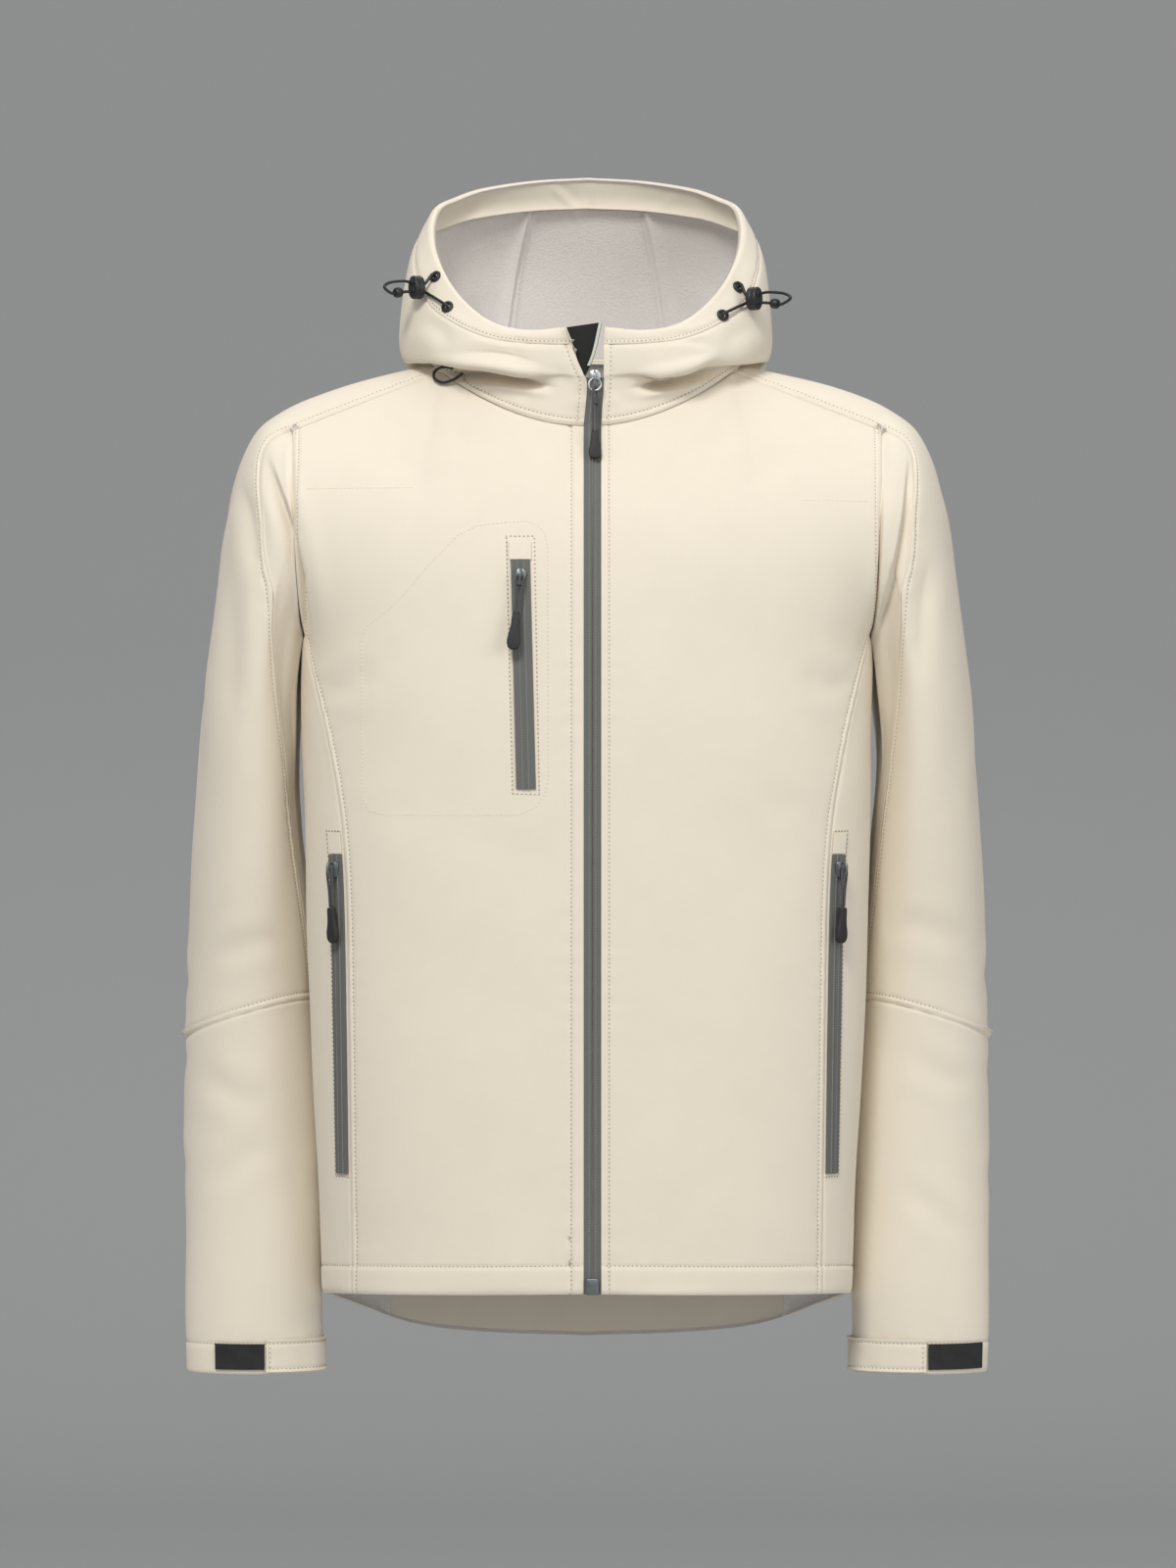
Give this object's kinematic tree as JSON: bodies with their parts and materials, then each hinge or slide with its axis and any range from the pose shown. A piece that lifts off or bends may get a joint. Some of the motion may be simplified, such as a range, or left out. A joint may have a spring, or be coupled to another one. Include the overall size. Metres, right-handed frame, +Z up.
{
  "type": "hooded softshell jacket",
  "caption": "Hooded softshell jacket, filled out as if worn, with saddle sleeves, princess seams, a full-length zip, zipped pockets, strap cuffs and a dropped back hem.",
  "frame": {"origin": "middle of the neck opening, level with the tops of the shoulders", "axes": "+Z up, from the hem to the hood; -Y to the front, where the zip is; +X to the wearer's left"},
  "size_m": [0.5952, 0.2586, 0.8868],
  "materials": {
    "softshell": "matt woven face, light fleece back",
    "zip_tape": "coil zip on dark grey tape",
    "black_fabric": "matt black",
    "pull_cord": "grey braided cord",
    "binding": "pale woven tape",
    "trim_plastic": "moulded black",
    "steel": "bright",
    "gunmetal": "dark plated"
  },
  "bodies": {
    "jacket": {"front_r": "softshell", "front_l": "softshell", "side_r": "softshell", "side_l": "softshell", "back": "softshell", "back_hem_facing": "softshell", "sleeve_upper_r": "softshell", "sleeve_upper_l": "softshell", "sleeve_under_r": "softshell", "sleeve_under_l": "softshell", "forearm_r": "softshell", "forearm_l": "softshell", "cuff_strap_r": "softshell", "cuff_strap_l": "softshell", "hood_side_r": "softshell", "hood_side_l": "softshell", "hood_center": "softshell", "hood_brim": "softshell", "hood_facing": "softshell", "chest_garage": "softshell", "pocket_garage_r": "softshell", "pocket_garage_l": "softshell", "zip_tape_r": "zip_tape", "zip_tape_l": "zip_tape", "chest_zip_tape": "zip_tape", "pocket_zip_tape_r": "zip_tape", "pocket_zip_tape_l": "zip_tape", "cuff_patch_r": "black_fabric", "cuff_patch_l": "black_fabric", "chin_guard": "black_fabric", "drawcord_r": "black_fabric", "drawcord_l": "black_fabric", "hood_loop": "black_fabric", "chin_binding": "binding", "eyelet_upper_r": "trim_plastic", "eyelet_upper_l": "trim_plastic", "eyelet_lower_r": "trim_plastic", "eyelet_lower_l": "trim_plastic", "cord_lock_r": "trim_plastic", "cord_lock_l": "trim_plastic", "cord_bead_r": "trim_plastic", "cord_bead_l": "trim_plastic", "zip_slider": "steel", "zip_box": "gunmetal", "chest_slider": "gunmetal", "pocket_slider_r": "gunmetal", "pocket_slider_l": "gunmetal"},
    "main_pull": {"zip_ring": "steel", "zip_cord": "pull_cord", "zip_tab": "trim_plastic"},
    "chest_pull": {"chest_cord": "pull_cord", "chest_tab": "trim_plastic"},
    "pocket_pull_r": {"pocket_cord_r": "pull_cord", "pocket_tab_r": "trim_plastic"},
    "pocket_pull_l": {"pocket_cord_l": "pull_cord", "pocket_tab_l": "trim_plastic"}
  },
  "joints": [
    {"name": "main_pull_swing", "type": "hinge", "parent": "jacket", "child": "main_pull", "pos_m": [0.00567, -0.08762, -0.00749], "axis": [-1, 0, 0], "range_deg": [0, 150]},
    {"name": "chest_pull_swing", "type": "hinge", "parent": "jacket", "child": "chest_pull", "pos_m": [-0.04759, -0.12427, -0.15089], "axis": [-0.9936, 0.0656, 0.0917], "range_deg": [0, 150]},
    {"name": "pocket_pull_r_swing", "type": "hinge", "parent": "jacket", "child": "pocket_pull_r", "pos_m": [-0.18539, -0.08038, -0.36046], "axis": [-0.732, 0.6795, -0.0489], "range_deg": [0, 150]},
    {"name": "pocket_pull_l_swing", "type": "hinge", "parent": "jacket", "child": "pocket_pull_l", "pos_m": [0.18539, -0.08038, -0.36046], "axis": [-0.732, -0.6795, 0.0489], "range_deg": [0, 150]}
  ]
}
